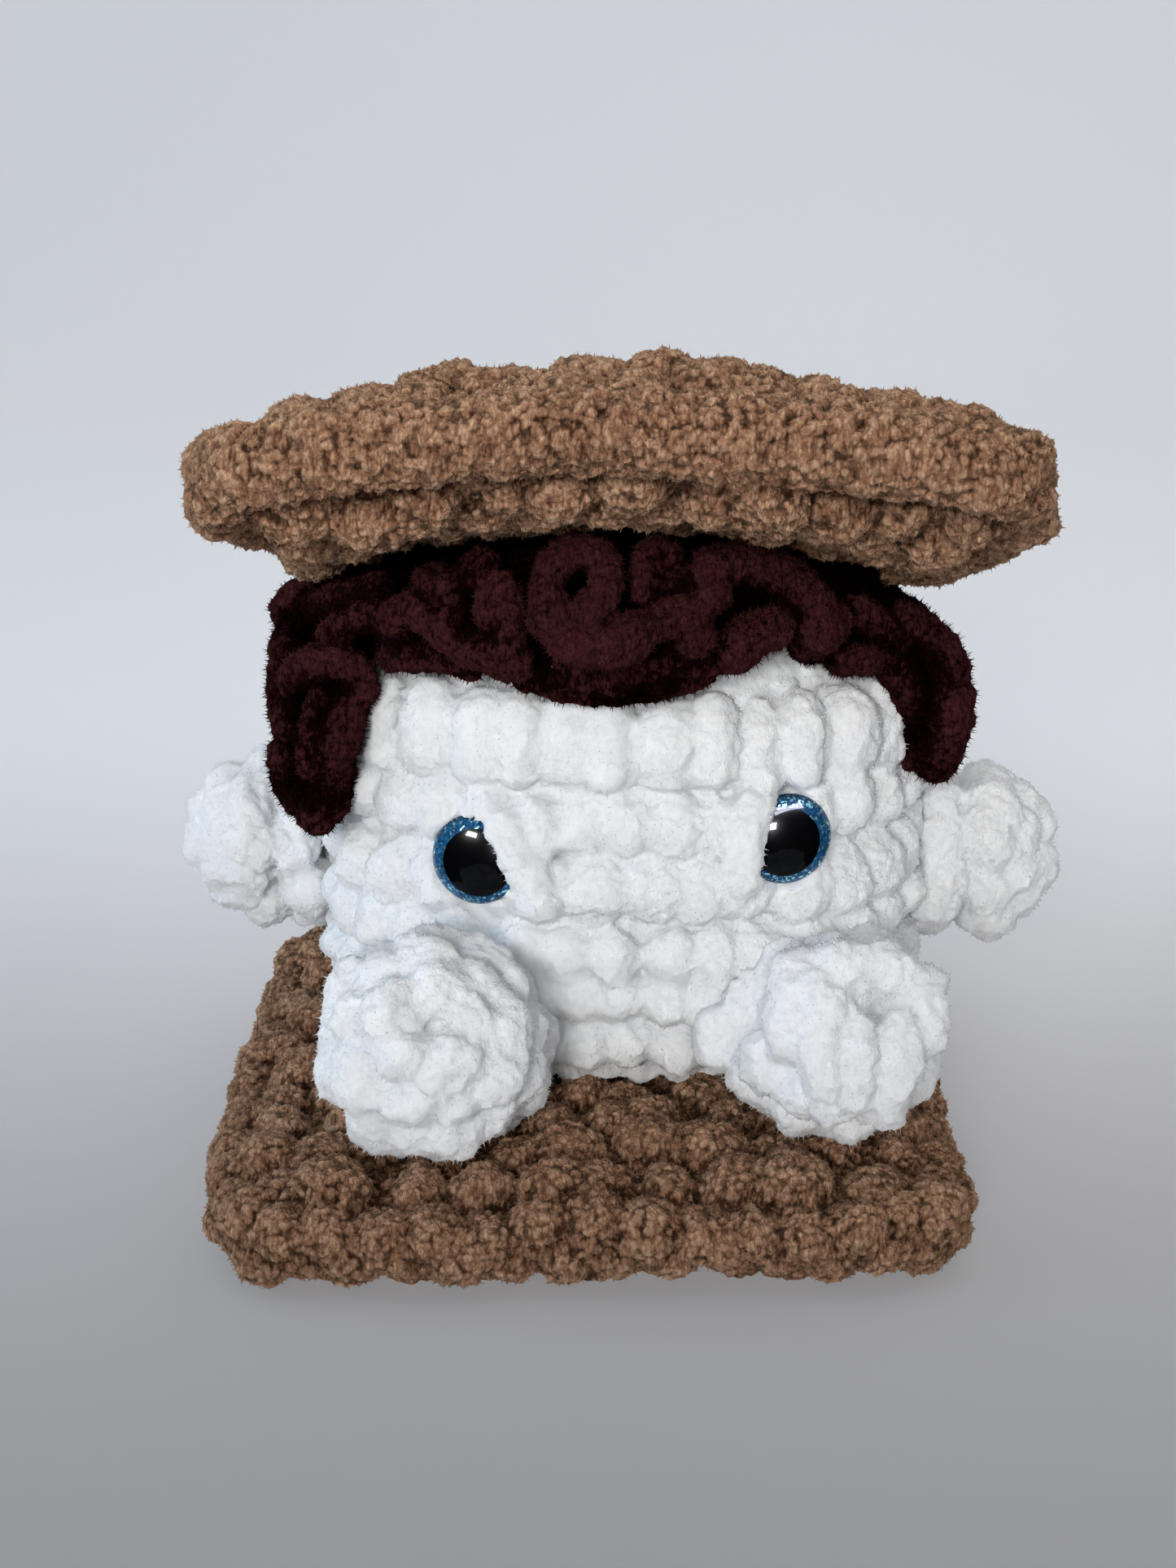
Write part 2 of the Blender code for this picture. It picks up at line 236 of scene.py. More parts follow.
def empty_bag(node):
    """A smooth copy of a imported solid, drawn in, with cloth and pressure ready on it."""
    bag = bpy.data.objects.new(node + "_form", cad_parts[node].data.copy())
    bpy.context.scene.collection.objects.link(bag)
    remesh = bag.modifiers.new("grain", "REMESH")
    remesh.mode = "VOXEL"
    remesh.voxel_size = CLOTH_GRAIN
    smooth = bag.modifiers.new("smooth", "SMOOTH")
    smooth.factor = 0.6
    smooth.iterations = 5
    apply_modifiers(bag)
    bm = bmesh.new()
    bm.from_mesh(bag.data)
    draw_in(bm, SLACK.get(node, USUAL_SLACK)[0]).to_mesh(bag.data)
    bm.free()
    cloth = bag.modifiers.new("filling", "CLOTH")
    cloth.settings.use_pressure = True
    cloth.settings.uniform_pressure_force = 4.0
    cloth.settings.effector_weights.gravity = 0.0
    cloth.point_cache.frame_start, cloth.point_cache.frame_end = 1, FILLING_FRAMES
    return bag


FORMS = {node: empty_bag(node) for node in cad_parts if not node.startswith("eye")}
slack_places = {node: places_of(form) for node, form in FORMS.items()}
for count in range(1, FILLING_FRAMES + 1):
    bpy.context.scene.frame_set(count)
for node, form in FORMS.items():
    apply_modifiers(form)
    moved = places_of(form) - slack_places[node]
    far = np.linalg.norm(moved, axis=1, keepdims=True)
    most = SLACK.get(node, USUAL_SLACK)[1]
    put_places(form, slack_places[node] + moved * np.minimum(1.0, most / np.maximum(far, 1e-9)))
    print(node, "filled:", round(float(far.mean()) / MM, 2), "mm before the cap of", round(most / MM, 2))
bpy.context.scene.frame_set(1)

# %% Rays and cores
# The most of its own thickness by which a thin part is drawn in, from each side
THIN_SHARE = 0.4


def search_tree(form):
    bm = bmesh.new()
    bm.from_mesh(form.data)
    tree = BVHTree.FromBMesh(bm)
    bm.free()
    return tree


def core_of(node, depth):
    """The form of a node, drawn in to lie under its stitches. A thin part is drawn in less."""
    bm = bmesh.new()
    bm.from_mesh(FORMS[node].data)
    bm.normal_update()
    for vert in bm.verts:
        through = TREES[node].ray_cast(vert.co - vert.normal * 0.1 * MM, -vert.normal)[3]
        vert.co -= vert.normal * min(depth, THIN_SHARE * (through or 1.0))
    return new_object(node + "_core", bm)


TREES = {node: search_tree(form) for node, form in FORMS.items()}


def seen_on(node, column, row):
    """The line of sight through a pixel of the photograph, and the point and normal that it meets."""
    way = sight(column, row)
    return way, *TREES[node].ray_cast(EYE_POINT, way)[:2]


def closest_pass(node, way):
    """The place where a line of sight passes closest to a form that it misses."""
    places = [EYE_POINT + way * far * MM for far in range(360, 560, 3)]
    return min(places, key=lambda place: TREES[node].find_nearest(place)[3])


# %% [markdown]
# ## Puffs of yarn
#
# Thick chenille hides its own strand: each leg of a stitch reads as a soft puff. So a stitch is made
# of squashed spheres, turned to lie along the surface. The places, turns and sizes of all the puffs
# of a piece go into a cloud of points, and Geometry Nodes puts one ball on each. A voxel remesh then
# joins the balls and the slim core into one closed skin, with a crease wherever two puffs meet.

# %% Puffs
bm = bmesh.new()
bmesh.ops.create_icosphere(bm, subdivisions=3, radius=1.0)
PUFF_BALL = new_object("puff_ball", bm)


def add_puff(puffs, at, out, along, size):
    """Notes one puff. size is its half width across, half length along, and half thickness outwards."""
    out = out.normalized()
    along = (along - out * along.dot(out)).normalized()
    puffs.append((at, Matrix((along.cross(out), along, out)).transposed().to_euler(), size))


def puff_cloud(name, puffs):
    """A point for each puff, which carries its turn and its size."""
    bm = bmesh.new()
    for layer in ("turn", "size"):
        bm.verts.layers.float_vector.new(layer)
    turn, size = bm.verts.layers.float_vector["turn"], bm.verts.layers.float_vector["size"]
    for at, angles, half in puffs:
        vert = bm.verts.new(at)
        vert[turn] = Vector(angles)
        vert[size] = Vector(half)
    return new_object(name + "_cloud", bm)


def joined_skin(name, core, puffs, grain, rounds=2):
    """Joins a core and its puffs into one closed skin, in place of the core."""
    cloud = puff_cloud(name, puffs)
    tree, start, end = geometry_tree(name + "_puffs")
    points = add_node(tree, "GeometryNodeObjectInfo", {"Object": cloud})
    ball = add_node(tree, "GeometryNodeObjectInfo", {"Object": PUFF_BALL})
    turn, size = (named_number(tree, layer, "FLOAT_VECTOR") for layer in ("turn", "size"))
    rotation = add_node(tree, "FunctionNodeEulerToRotation", {0: turn})
    placed = add_node(tree, "GeometryNodeInstanceOnPoints",
                      {"Points": points.outputs["Geometry"], "Instance": ball.outputs["Geometry"],
                       "Rotation": rotation.outputs[0], "Scale": size})
    real = add_node(tree, "GeometryNodeRealizeInstances", {"Geometry": placed.outputs[0]})
    both = add_node(tree, "GeometryNodeJoinGeometry", {0: real.outputs[0]})
    tree.links.new(start, both.inputs[0])
    tree.links.new(both.outputs[0], end)
    core.name = core.data.name = name
    core.modifiers.new("puffs", "NODES").node_group = tree
    remesh = core.modifiers.new("join", "REMESH")
    remesh.mode = "VOXEL"
    remesh.voxel_size = grain * 1.0
    smooth = core.modifiers.new("soften", "SMOOTH")
    smooth.factor = 0.5
    smooth.iterations = rounds
    apply_modifiers(core)
    bpy.data.objects.remove(cloud)
    print(name, "has", len(puffs), "puffs")
    return core


# %% [markdown]
# ## Florets and creases
#
# Up close the pile gathers in rounded florets about two millimetres wide, with fine cracks between
# them. A cell pattern with a smooth slope round each middle gives such florets. It drives both the
# shape and the colour, where the dark slopes and cracks are painted shade, so one helper builds it
# in either kind of graph. On the mesh, Geometry Nodes lifts each floret. It then compares each point
# with a blurred copy of the surface, and keeps the difference as the attribute "rise": high on the
# crown of a puff, low in a crease. The materials read it to paint shade into the creases and light
# onto the crowns.

# %% Florets


def floret_pattern(tree, place, size):
    """Rounded florets: how high each point stands on its own, the floret's own number, and its middle."""
    wander = add_node(tree, "ShaderNodeTexNoise", {"Vector": place, "Scale": 0.6 / size, "Detail": 2.0})
    centred = combine(tree, "SUBTRACT", wander.outputs["Color"], (0.5, 0.5, 0.5))
    shifted = combine(tree, "MULTIPLY_ADD", centred, (1.5 * size,) * 3, place)
    cell = add_node(tree, "ShaderNodeTexVoronoi", {"Vector": shifted, "Scale": 1 / size})
    own = add_node(tree, "ShaderNodeSeparateXYZ", {0: cell.outputs["Color"]}).outputs[0]
    inward = combine(tree, "SUBTRACT", cell.outputs["Position"], shifted)
    dome = limits(tree, cell.outputs["Distance"], 0.78, 0.12, "SMOOTHSTEP")
    return dome, own, inward


def ruffle(obj, lump, lump_size, floret, floret_size, blur=30):
    """Adds lumps and florets to a skin, and stores how far each point stands above its surroundings."""
    tree, start, end = geometry_tree(obj.name + "_ruffle")
    position = add_node(tree, "GeometryNodeInputPosition").outputs[0]
    normal = add_node(tree, "GeometryNodeInputNormal").outputs[0]
    noise = add_node(tree, "ShaderNodeTexNoise", {"Vector": position, "Scale": 1 / lump_size, "Detail": 2.0})
    wave = calculate(tree, "MULTIPLY_ADD", noise.outputs[0], 2.4 * lump, -1.2 * lump)
    dome, own, _ = floret_pattern(tree, position, floret_size)
    height = calculate(tree, "MULTIPLY_ADD", dome, 1.5 * floret, wave)
    height = calculate(tree, "MULTIPLY_ADD", own, 0.6 * floret, height)
    height = calculate(tree, "SUBTRACT", height, 0.9 * floret)
    offset = add_node(tree, "ShaderNodeVectorMath", {0: normal, "Scale": height}, operation="SCALE")
    moved = add_node(tree, "GeometryNodeSetPosition", {"Geometry": start, "Offset": offset.outputs[0]})
    blurred = add_node(tree, "GeometryNodeBlurAttribute", {"Value": position, "Iterations": blur},
                       data_type="FLOAT_VECTOR")
    above = combine(tree, "SUBTRACT", position, output_of(blurred))
    rise = add_node(tree, "ShaderNodeVectorMath", {0: above, 1: normal}, operation="DOT_PRODUCT")
    stored = add_node(tree, "GeometryNodeStoreNamedAttribute",
                      {"Geometry": moved.outputs[0], "Name": "rise", "Value": output_of(rise, "Value")},
                      data_type="FLOAT", domain="POINT")
    tree.links.new(stored.outputs[0], end)
    obj.modifiers.new("ruffle", "NODES").node_group = tree
    apply_modifiers(obj)
    obj.data.shade_smooth()
    return obj


# %% [markdown]
# ## Pile
#
# Chenille is a core with short fibres that stand out all round it. Here a fibre bundle is a thin
# closed spike with four faces. Geometry Nodes scatters it over a skin, leans it towards the middle of
# its floret, and makes the copies real, so that the fuzzy outline is geometry.

# %% Fibres


def fibre_shape(name, width, stand, root):
    """A thin spike about +Z. "tip" is 0 in the skin and 1 at the end."""
    bm = bmesh.new()
    bmesh.ops.create_cone(bm, cap_ends=True, cap_tris=True, segments=3, radius1=width / 2, radius2=0.0,
                          depth=stand + root)
    bmesh.ops.translate(bm, verts=bm.verts, vec=(0.0, 0.0, (stand - root) / 2))
    bmesh.ops.recalc_face_normals(bm, faces=bm.faces)
    fibre = new_object(name, bm)
    weigh(fibre, "tip", [max(0.0, v.co.z) / stand for v in fibre.data.vertices])
    fibre.data.shade_smooth()
    return fibre


# For each yarn: the fibre, the mean distance between fibres, and the size of its florets
ROOT = 0.5 * MM
PILES = {
    "cracker_yarn": (fibre_shape("fibre_cracker", 0.60 * MM, 0.85 * MM, ROOT), 1.3 * MM, 2.0 * MM),
    "marshmallow_yarn": (fibre_shape("fibre_marshmallow", 0.50 * MM, 1.05 * MM, ROOT), 1.5 * MM, 2.3 * MM),
    "chocolate_yarn": (fibre_shape("fibre_chocolate", 0.45 * MM, 1.35 * MM, ROOT), 1.1 * MM, 2.0 * MM),
}

# %% Pile


def grow_pile(skin, name, finish, seed, keep=None):
    """Covers a skin with fibres, as a piece of its own. keep is 1 where they grow, for each point."""
    fibre, spacing, floret_size = PILES[finish]
    pile = bpy.data.objects.new(name, skin.data.copy())
    bpy.context.scene.collection.objects.link(pile)
    weigh(pile, "keep", np.ones(len(pile.data.vertices)) if keep is None else keep)
    tree, start, end = geometry_tree(name + "_scatter")
    spread = spacing * 1.0
    kept = named_number(tree, "keep")
    scatter = add_node(tree, "GeometryNodeDistributePointsOnFaces",
                       {"Mesh": start, "Distance Min": spread * 0.8, "Density Max": 1.35 / spread ** 2,
                        "Seed": seed, "Density Factor": kept}, distribute_method="POISSON")
    position = add_node(tree, "GeometryNodeInputPosition").outputs[0]
    inward = floret_pattern(tree, position, floret_size)[2]
    combed = add_node(tree, "ShaderNodeTexNoise", {"Vector": position, "Scale": 1 / (8 * MM), "Detail": 1.0})
    centred = combine(tree, "SUBTRACT", combed.outputs["Color"], (0.5, 0.5, 0.5))
    stray = add_node(tree, "FunctionNodeRandomValue", {"Min": (-0.3,) * 3, "Max": (0.3,) * 3, "Seed": seed},
                     data_type="FLOAT_VECTOR")
    way = combine(tree, "MULTIPLY_ADD", inward, (0.55 / floret_size,) * 3, scatter.outputs["Normal"])
    way = combine(tree, "MULTIPLY_ADD", centred, (1.4,) * 3, way)
    way = combine(tree, "ADD", way, output_of(stray))
    aligned = add_node(tree, "FunctionNodeAlignRotationToVector", {"Vector": way}, axis="Z")
    size = add_node(tree, "FunctionNodeRandomValue", {"Min": (0.7, 0.7, 0.5), "Max": (1.3, 1.3, 1.35),
                                                      "Seed": seed + 1}, data_type="FLOAT_VECTOR")
    shape = add_node(tree, "GeometryNodeObjectInfo", {"Object": fibre})
    copies = add_node(tree, "GeometryNodeInstanceOnPoints",
                      {"Points": scatter.outputs["Points"], "Instance": shape.outputs["Geometry"],
                       "Rotation": output_of(aligned), "Scale": output_of(size)})
    real = add_node(tree, "GeometryNodeRealizeInstances", {"Geometry": copies.outputs[0]})
    tree.links.new(real.outputs[0], end)
    pile.modifiers.new("scatter", "NODES").node_group = tree
    apply_modifiers(pile)
    pile.data.shade_smooth()
    return pile


# %% [markdown]
# ## Yarn finishes
#
# Chenille has no gloss, so that is off, but its fibre ends catch the light at the edges, which is
# what sheen is for. The colour is darkest deep in a crease, and lightest on a crown: painted shade
# and light. Several patterns, each with its share, shift it from there: the floret pattern at two
# sizes, whose slopes and cracks add more painted shade, painted light on the fibre tips, fine
# streaks of combed fibre, spokes round the middle of each floret, and the slow change of uneven dye.

# %% Yarn finishes


def stored_number(tree, name):
    """A number that the mesh keeps for each point, in a material."""
    return add_node(tree, "ShaderNodeAttribute", attribute_name=name).outputs["Fac"]


def noise_of(tree, place, scale, detail=2.0):
    noise = add_node(tree, "ShaderNodeTexNoise", {"Vector": place, "Scale": scale, "Detail": detail})
    return noise.outputs[0]


def yarn_finish(name, deep, middle, crown, painted_shade_depth, grain, crack, floret_tone_and_shade, sheen, bump):
    """A chenille yarn. After the three colours come: the depth below its surroundings at which a point
    has the darkest painted shade, the light kept in the painted shade between florets, and how much
    the florets show in the colour, as their own tone and their painted shade."""
    material, tree, shader = new_material(name)
    place = add_node(tree, "ShaderNodeTexCoord").outputs["Object"]
    rise, tip = (stored_number(tree, key) for key in ("rise", "tip"))
    patch = noise_of(tree, place, 60.0, 3.0)
    squeezed = add_node(tree, "ShaderNodeMapping", {"Vector": place, "Scale": (1.0, 1.0, 0.35)}).outputs[0]
    streak = noise_of(tree, squeezed, 1 / (0.55 * MM))
    dome, own, inward = floret_pattern(tree, place, grain)
    small_dome = floret_pattern(tree, squeezed, grain * 0.45)[0]
    wide_place = combine(tree, "MULTIPLY", place, (500.0,) * 3)
    # Fibres lie like spokes round the middle of their floret
    spoke = combine(tree, "MULTIPLY_ADD", combine(tree, "NORMALIZE", inward), (2.6,) * 3, wide_place)
    spokes = noise_of(tree, spoke, 1.0)
    # How light this point is, from 0 to 1 about the middle. The rise, the floret slopes and the fibre
    # tips are painted shade and light; the dye patches, each floret's own number, the streaks and the
    # spokes are the yarn's own tone. The ramp runs from deep, the colour in painted shade, to crown.
    sources = ((limits(tree, rise, -painted_shade_depth, painted_shade_depth), 0.62), (patch, 0.36), (own, 0.10 * floret_tone_and_shade),
               (dome, 0.30 * floret_tone_and_shade), (small_dome, 0.32 * floret_tone_and_shade), (streak, 0.34), (spokes, 0.44),
               (tip, 0.12))
    tone = 0.5 - sum(share for _, share in sources) / 2
    for source, share in sources:
        tone = calculate(tree, "MULTIPLY_ADD", source, share, tone)
    ramp = add_node(tree, "ShaderNodeValToRGB", {0: tone})
    ramp.color_ramp.elements[0].position = 0.08
    ramp.color_ramp.elements[0].color = (*deep, 1.0)
    ramp.color_ramp.elements[1].position = 0.95
    ramp.color_ramp.elements[1].color = (*crown, 1.0)
    ramp.color_ramp.elements.new(0.5).color = (*middle, 1.0)
    # A few cracks run between the florets, and the rest close up. The cracks get painted shade, and the
    # fibre tips are kept out of it
    closed = noise_of(tree, place, 0.40 / grain)
    gap = calculate(tree, "MAXIMUM", limits(tree, dome, 0.0, 0.22), limits(tree, closed, 0.44, 0.56))
    gap = calculate(tree, "MAXIMUM", gap, tip)
    left = calculate(tree, "MULTIPLY_ADD", gap, 1.0 - crack, crack)
    colour = add_node(tree, "ShaderNodeMix", {"Factor": 1.0, 6: ramp.outputs[0], 7: left}, data_type="RGBA",
                      blend_type="MULTIPLY")
    tree.links.new(colour.outputs[2], shader.inputs["Base Color"])
    lift = calculate(tree, "MULTIPLY_ADD", small_dome, 0.5, dome)
    lift = calculate(tree, "MULTIPLY_ADD", streak, 0.8, lift)
    lift = calculate(tree, "MULTIPLY_ADD", spokes, 1.0, lift)
    relief = add_node(tree, "ShaderNodeBump", {"Height": lift, "Strength": bump, "Distance": 0.8 * MM})
    tree.links.new(relief.outputs[0], shader.inputs["Normal"])
    shader.inputs["Roughness"].default_value = 0.95
    shader.inputs["Specular IOR Level"].default_value = 0.0
    shader.inputs["Sheen Weight"].default_value = sheen
    shader.inputs["Sheen Roughness"].default_value = 0.5
    shader.inputs["Sheen Tint"].default_value = (*(min(1.0, c * 2.0) for c in crown), 1.0)
    return material


# Each: the colour in the painted shade of a crease, the middle colour, and the colour of a crown in painted
# light
FINISHES = {
    "cracker_yarn": yarn_finish(
        "cracker chenille", (0.060, 0.022, 0.011), (0.355, 0.183, 0.106), (0.690, 0.445, 0.290),
        painted_shade_depth=1.8 * MM, grain=2.0 * MM, crack=0.35, floret_tone_and_shade=1.0, sheen=0.12, bump=0.8),
    "marshmallow_yarn": yarn_finish(
        "marshmallow chenille", (0.85, 0.862, 0.88), (0.918, 0.93, 0.936), (0.955, 0.955, 0.955),
        painted_shade_depth=2.2 * MM, grain=2.3 * MM, crack=0.96, floret_tone_and_shade=0.6, sheen=0.04, bump=0.22),
    "chocolate_yarn": yarn_finish(
        "chocolate chenille", (0.0004, 0.0001, 0.0001), (0.0062, 0.0012, 0.0013), (0.088, 0.025, 0.026),
        painted_shade_depth=3.0 * MM, grain=2.0 * MM, crack=0.85, floret_tone_and_shade=0.5, sheen=0.10, bump=0.9),
}


def dress(piece, finish, nodes=()):
    """Gives a piece its finish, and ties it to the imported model."""
    piece.data.materials.clear()
    piece.data.materials.append(FINISHES[finish])
    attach(piece, "root")
    if nodes:
        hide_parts(*nodes)
    print(piece.name, len(piece.data.polygons), "faces")


def dress_pile_halves(skin, node, finish, seed, front, keep):
    """Grows a skin's pile as two pieces, front and back, so that neither is too large to export."""
    for side, half, its_seed in (("front", front, seed), ("back", ~front, seed + 1)):
        dress(grow_pile(skin, f"{node}_pile_{side}", finish, its_seed, half & keep), finish)


# %% [markdown]
# ## Cracker pads
#
# Each pad is two square panels with an edging of yarn round them. The panels are knobbly, one knob a
# stitch. On the top pad the edging is a smooth roll in front and behind, and everywhere else it is
# as knobbly as the panels. Rays from above and below find the panels, also where the top pad droops
# at its sides, and half way between them lies the edging.

# %% Cracker pads
UP = Vector((0.0, 0.0, 1.0))
PANEL_ROWS = 11
EDGING_STITCHES = 112


def turned(degrees, axis):
    return Matrix.Rotation(math.radians(degrees), 3, axis)


# margin: how much narrower the field of knobs is. rolls: the sides, from the front, with a smooth edging
PADS = {
    "cracker_bottom": {"centre": Vector((0.0, 0.0, 12.25 * MM)), "turn": turned(3.2, "Z"),
                       "side": 178 * MM, "margin": 28 * MM, "rolls": ()},
    "cracker_top": {"centre": Vector((10.0 * MM, 0.0, 174.5 * MM)),
                    "turn": turned(-11.3, "X") @ turned(0.7, "Y"),
                    "side": 182 * MM, "margin": 46 * MM, "rolls": (0, 2)},
}


def pad_layers(tree, centre, turn, x, y):
    """The top and the underside of a pad at a place in its own plane, each as (point, normal)."""
    up = turn @ UP
    over = centre + turn @ Vector((x, y, 0.0))
    top = tree.ray_cast(over + up * 0.1, -up)[:2]
    below = tree.ray_cast(over - up * 0.1, up)[:2]
    return top, below


def panel_knobs(name, centre, turn, side, margin):
    """One knob for each stitch of both panels."""
    chance = random.Random(name)
    puffs = []
    last = PANEL_ROWS - 1
    pitch = (side - margin) / last
    for i in range(PANEL_ROWS):
        for j in range(PANEL_ROWS):
            x = (i - last / 2 + 0.2 * (-1) ** j) * pitch + chance.uniform(-3.2, 3.2) * MM
            y = (j - last / 2) * pitch + chance.uniform(-2.8, 2.8) * MM
            for point, normal in pad_layers(TREES[name], centre, turn, x, y):
                if point is None:
                    continue
                size = chance.uniform(0.72, 1.08)
                along = turn @ Matrix.Rotation(chance.uniform(-1.2, 1.2), 3, "Z") @ Vector((1.0, 0.0, 0.0))
                depth = chance.uniform(2.6, 5.4) * MM
                add_puff(puffs, point - normal * depth, normal, along,
                         (7.4 * MM * size, 9.2 * MM * size, 6.8 * MM * size))
    return puffs


def edging_puffs(name, centre, turn, side, rolls):
    """The edging of a pad: a smooth roll on some sides, and knobs on the others."""
    chance = random.Random(name + " edging")
    puffs = []
    inner, outer = side / 2 - 9.5 * MM, side / 2 - 6.0 * MM
    up = turn @ UP
    for k in range(EDGING_STITCHES):
        share = 8 * k / EDGING_STITCHES
        quarter, along_side = int(share // 2), share % 2 - 1
        square = Matrix.Rotation(quarter * math.pi / 2, 3, "Z") @ Vector((along_side, -1.0, 0.0))
        norm = (abs(square.x) ** 9 + abs(square.y) ** 9) ** (-1 / 9)
        flat = Vector((square.x * norm, square.y * norm, 0.0))
        top, below = pad_layers(TREES[name], centre, turn, flat.x * inner, flat.y * inner)
        if top[0] is None or below[0] is None:
            continue
        lift = ((top[0] + below[0]) / 2 - centre).dot(up)
        tall = (top[0] - below[0]).length / 2
        outwards = turn @ Vector((abs(flat.x) ** 8 * flat.x, abs(flat.y) ** 8 * flat.y, 0.0)).normalized()
        around = outwards.cross(up)
        at = centre + turn @ (flat * outer) + up * lift
        if quarter not in rolls:
            for level in (-1, 1):
                if (k + (level > 0)) % 2:
                    size = chance.uniform(0.85, 1.15)
                    place = at + up * (level * (tall - 6.2 * MM) + chance.uniform(-1.5, 1.5) * MM)
                    add_puff(puffs, place + outwards * chance.uniform(-2.2, 1.0) * MM, outwards, around,
                             (6.4 * MM * size, 7.4 * MM * size, 6.8 * MM * size))
            add_puff(puffs, at - outwards * 3 * MM, outwards, around, (tall - 2 * MM, 7.5 * MM, 6.0 * MM))
        else:
            wobble = chance.uniform(-0.5, 0.5) * MM
            add_puff(puffs, at + outwards * wobble, outwards, around, (9.0 * MM + wobble, 7.5 * MM, 7.2 * MM))
    return puffs


# Places in the photograph along the loose end: how far it stands proud there, and half its width, in mm
YARN_END = ((922, 588, 1, 4.2), (938, 602, 3, 4.8), (955, 616, 4, 5.2), (968, 628, 4, 4.6),
            (958, 640, 5, 3.2), (950, 648, 5, 2.2))


def yarn_end():
    """The end of the yarn, which hangs from under the front of the top pad."""
    puffs = []
    for column, row, proud, half in YARN_END:
        way, point, _ = seen_on("cracker_top", column, row)
        if point is None:
            point = puffs[-1][0] + Vector((0.0, 0.0, -2.0 * MM))
            proud = 0
        add_puff(puffs, point - way * proud * MM, -ahead, upward, (half * MM,) * 3)
    return puffs


for name, pad in PADS.items():
    puffs = panel_knobs(name, pad["centre"], pad["turn"], pad["side"], pad["margin"])
    puffs += edging_puffs(name, pad["centre"], pad["turn"], pad["side"], pad["rolls"])
    if name == "cracker_top":
        puffs += yarn_end()
    skin = joined_skin(name + "_yarn", core_of(name, 4.6 * MM), puffs, 1.0 * MM, 1)
    ruffle(skin, 0.9 * MM, 6 * MM, 0.70 * MM, 2.0 * MM)
    if name == "cracker_bottom":
        # The underside lies flat on the table
        places = places_of(skin)
        places[:, 2] = np.maximum(places[:, 2], 0.0)
        put_places(skin, places)
    dress(skin, "cracker_yarn", [name])
    places = places_of(skin)
    dress_pile_halves(skin, name, "cracker_yarn", 11, places[:, 1] < 0, places[:, 2] > 2.2 * MM)

# %% [markdown]
# ## Marshmallow body
#
# The body is worked in rounds. Each stitch shows as one plump puff, fullest at its foot, so that a
# round ends in a scalloped edge which overhangs the one below. The heights of the rounds follow the
# photograph, where the lower ones are squeezed flatter by the weight above.

# %% Marshmallow body
BODY_AXIS = Vector((9.0 * MM, 21.0 * MM, 0.0))
# The heights of the edges between the rounds, and the stitches of each round
ROUND_EDGES = [127.0, 103.5, 88.0, 71.5, 56.5, 45.5, 33.0, 24.0]
STITCHES = [34, 35, 32, 33, 38, 38, 38]
GIRTH = 430 * MM


def rounds_of_body():
    chance = random.Random("body")
    tree = TREES["marshmallow_body"]
    puffs = []
    for high, low, stitches in zip(ROUND_EDGES, ROUND_EDGES[1:], STITCHES):
        tall = (high - low) * MM
        shift = chance.uniform(0.0, 1.0)
        wide = GIRTH / stitches / 2
        for stitch in range(stitches):
            angle = 2 * math.pi * (stitch + shift + chance.uniform(-0.2, 0.2)) / stitches
            wave = chance.uniform(-0.9, 0.9) + 0.8 * math.sin(3 * angle + high)
            middle = (high + low) / 2 * MM + wave * MM
            outwards = Vector((math.cos(angle), math.sin(angle), 0.0))
            start = BODY_AXIS + outwards * 0.2 + UP * middle
            point, normal = tree.ray_cast(start, -outwards)[:2]
            if point is None:
                continue
            side = Vector((-outwards.y, outwards.x, 0.0))
            along = UP + side * chance.uniform(-0.18, 0.18)
            size = chance.uniform(0.85, 1.25)
            depth = 5.0 + chance.uniform(-1.3, 1.3)
            add_puff(puffs, point - normal * depth * MM, normal - UP * 0.10, along,
                     (wide * 1.20 * size, tall * 0.48, chance.uniform(6.8, 8.2) * MM))
            # The full foot of the stitch
            foot = UP * (tall * 0.5 - wide * 0.80)
            depth = 4.6 + chance.uniform(-0.8, 0.8)
            add_puff(puffs, point - normal * depth * MM - foot, normal - UP * 0.25, along,
                     (wide * 1.05 * size, wide * 0.92, chance.uniform(6.2, 7.6) * MM))
    return puffs


body_puffs = rounds_of_body()

# %% [markdown]
# ## Safety eyes
#
# Each eye is a domed button on a short stem. Its back sits in the wool, and the wool closes over its
# inner side. So the skin is pressed back where the button shows, and extra puffs bulge over the edge
# that the wool hides.

# %% Places of the eyes
EYE_RADIUS, EYE_DOME, EYE_BACK = 11.0 * MM, 5.4 * MM, 3.0 * MM
EYE_TURN = {"eye_left": math.radians(-17.0), "eye_right": math.radians(17.0)}
EYE_TILT = math.radians(2.0)
# How far inwards each button shows at its middle, and how much less for each unit further up
EYE_LIDS = {"eye_left": (7.6 * MM, 0.48), "eye_right": (5.8 * MM, 0.20)}


def eye_place(name):
    """The middle of a button's rim, and the axes across, up and out of it."""
    turn = Matrix.Rotation(EYE_TURN[name], 3, "Z") @ Matrix.Rotation(math.radians(90.0) - EYE_TILT, 3, "X")
    low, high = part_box(name)
    return (low + high) / 2 - turn @ UP * 1.5 * MM, turn


def eye_view(places, name):
    """Places measured from the middle of a button's rim, along its own axes."""
    middle, turn = eye_place(name)
    return (places - np.array(middle)) @ np.array(turn)


def inwards_of(name):
    """The sign of the local x direction that points to the middle of the face."""
    return 1 if name == "eye_left" else -1


def lid_edge(name, height):
    """How far inwards the button shows at a height over its middle."""
    reach, slant = EYE_LIDS[name]
    return reach - slant * height


